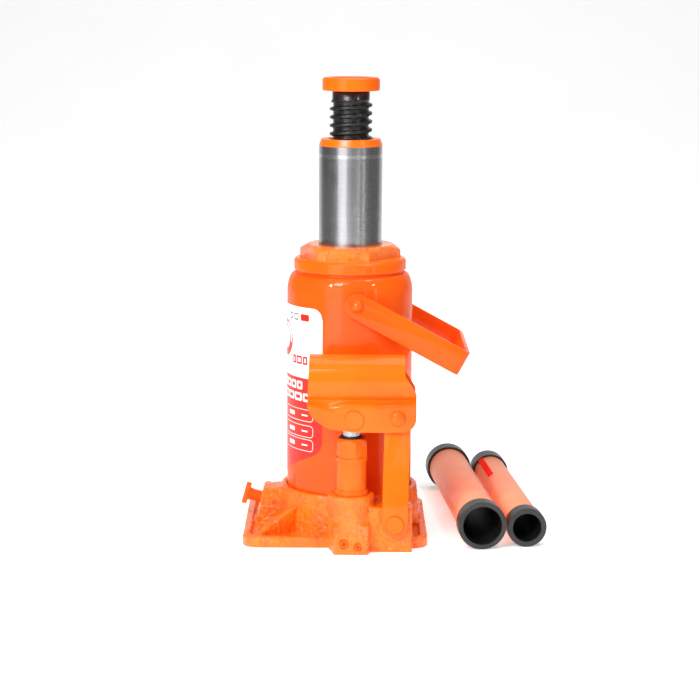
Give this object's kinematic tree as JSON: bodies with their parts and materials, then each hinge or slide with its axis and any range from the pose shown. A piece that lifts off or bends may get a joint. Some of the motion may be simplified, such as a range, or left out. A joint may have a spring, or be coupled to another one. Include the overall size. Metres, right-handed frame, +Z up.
{
  "type": "bottle jack",
  "caption": "Hand-pumped hydraulic bottle jack with telescopic screw saddle, carry bail, linked handle socket and a two-piece tube handle laid beside it.",
  "frame": {"origin": "on the ram's axis at the underside of the base", "axes": "+Z up along the ram, -Y towards the pump and handle socket, -X towards the release valve"},
  "size_m": [0.1905, 0.1865, 0.2847],
  "materials": {
    "orange_paint": "glossy enamel",
    "orange_cast_paint": "glossy enamel over rough casting",
    "ram_steel": "ground and polished",
    "plain_steel": "machined",
    "black_thread": "black oxide, oily",
    "nitrile": "matte",
    "copper": "satin",
    "label_vinyl": "printed vinyl",
    "handle_enamel": "glossy enamel",
    "strip_enamel": "glossy enamel",
    "black_plastic": "moulded"
  },
  "bodies": {
    "base": {"base_casting": "orange_cast_paint", "tank_shell": "orange_paint", "tank_gasket": "nitrile", "cylinder_tube": "plain_steel", "cylinder_gasket": "copper", "cap_nut": "orange_cast_paint", "cap_nut_seal": "nitrile", "wiper_seal": "nitrile", "oil_filler_plug": "nitrile", "label": "label_vinyl", "pump_body": "orange_paint", "pump_wiper": "nitrile", "pump_gasket": "copper", "link_bottom_rivet": "orange_paint", "bail_rivets": "orange_paint", "suction_valve_plug": "orange_paint", "delivery_valve_plug": "orange_paint", "delivery_spring": "plain_steel", "overload_screw": "orange_paint", "overload_spring": "plain_steel", "suction_strainer": "copper"},
    "ram": {"ram": "ram_steel", "piston_cup_seal": "nitrile", "piston_washer": "plain_steel", "piston_retaining_ring": "plain_steel"},
    "saddle": {"saddle": "orange_cast_paint", "saddle_snap_ring": "plain_steel"},
    "screw": {"extension_screw": "black_thread"},
    "plunger": {"pump_plunger": "ram_steel", "plunger_seal": "nitrile"},
    "links": {"link_bar_front": "orange_paint", "link_bar_rear": "orange_paint"},
    "socket": {"handle_socket": "orange_paint", "plunger_pin": "orange_paint", "link_top_rivet": "orange_paint"},
    "bail": {"bail": "orange_paint"},
    "valve_seal": {"release_valve_o_ring": "nitrile"},
    "valve_screw": {"release_valve_screw": "orange_paint"},
    "release_ball": {"release_ball": "plain_steel"},
    "suction_ball": {"suction_ball": "plain_steel"},
    "delivery_ball": {"delivery_ball": "plain_steel"},
    "overload_ball": {"overload_ball": "plain_steel"},
    "outer_tube": {"handle_tube_outer": "handle_enamel", "handle_rings_outer": "black_plastic"},
    "inner_tube": {"handle_tube_inner": "handle_enamel", "handle_rings_inner": "black_plastic", "handle_key_strip": "strip_enamel"}
  },
  "joints": [
    {"name": "ram_lift", "type": "slide", "parent": "base", "child": "ram", "axis": [0, 0, 1], "range_m": [-0.065, 0.05]},
    {"name": "screw_lift", "type": "slide", "parent": "ram", "child": "saddle", "axis": [0, 0, 1], "range_m": [-0.0295, 0.0355]},
    {"name": "screw_turn", "type": "hinge", "parent": "saddle", "child": "screw", "pos_m": [0, 0, 0.2766], "axis": [0, 0, 1], "range_deg": [-2082, 2505]},
    {"name": "pump_stroke", "type": "slide", "parent": "base", "child": "plunger", "axis": [0, 0, 1], "range_m": [-0.0018, 0.013]},
    {"name": "link_swing", "type": "hinge", "parent": "base", "child": "links", "pos_m": [0.028, -0.055, 0.0178], "axis": [0, 1, 0], "range_deg": [-2, 0.3]},
    {"name": "socket_swing", "type": "hinge", "parent": "links", "child": "socket", "pos_m": [0.0292, -0.055, 0.0838], "axis": [0, 1, 0], "range_deg": [-4, 30]},
    {"name": "bail_swing", "type": "hinge", "parent": "base", "child": "bail", "pos_m": [0.0045, 0, 0.148], "axis": [0, -1, 0], "range_deg": [-3, 93]},
    {"name": "release_valve_travel", "type": "slide", "parent": "base", "child": "valve_seal", "axis": [-0.9627, 0, 0.2706], "range_m": [0, 0.0019]},
    {"name": "release_valve_turn", "type": "hinge", "parent": "valve_seal", "child": "valve_screw", "pos_m": [-0.0565, 0, 0.0187], "axis": [-0.9627, 0, 0.2706], "range_deg": [0, 540]},
    {"name": "release_ball_lift", "type": "slide", "parent": "base", "child": "release_ball", "axis": [-0.9627, 0, 0.2706], "range_m": [0, 0.0019]},
    {"name": "suction_ball_lift", "type": "slide", "parent": "base", "child": "suction_ball", "axis": [0, -1, 0], "range_m": [0, 0.0008]},
    {"name": "delivery_ball_lift", "type": "slide", "parent": "base", "child": "delivery_ball", "axis": [0, -1, 0], "range_m": [0, 0.0004]},
    {"name": "overload_ball_lift", "type": "slide", "parent": "base", "child": "overload_ball", "axis": [0, 1, 0], "range_m": [0, 0.0006]},
    {"name": "outer_tube_lift", "type": "slide", "parent": "base", "child": "outer_tube", "axis": [0.2242, 0.0188, 0.9744], "range_m": [0, 0.16]},
    {"name": "inner_tube_lift", "type": "slide", "parent": "base", "child": "inner_tube", "axis": [0.5979, 0.0502, 0.8], "range_m": [0, 0.16]}
  ],
  "couplings": [
    {"joint": "screw_lift", "follows": "screw_turn", "m_per_rad": 0.00081169},
    {"joint": "pump_stroke", "follows": "socket_swing", "m_per_rad": 0.02418},
    {"joint": "link_swing", "follows": "socket_swing", "ratio": -0.062},
    {"joint": "release_valve_travel", "follows": "release_valve_turn", "m_per_rad": 0.00019894},
    {"joint": "release_ball_lift", "follows": "release_valve_turn", "m_per_rad": 0.00019894}
  ]
}
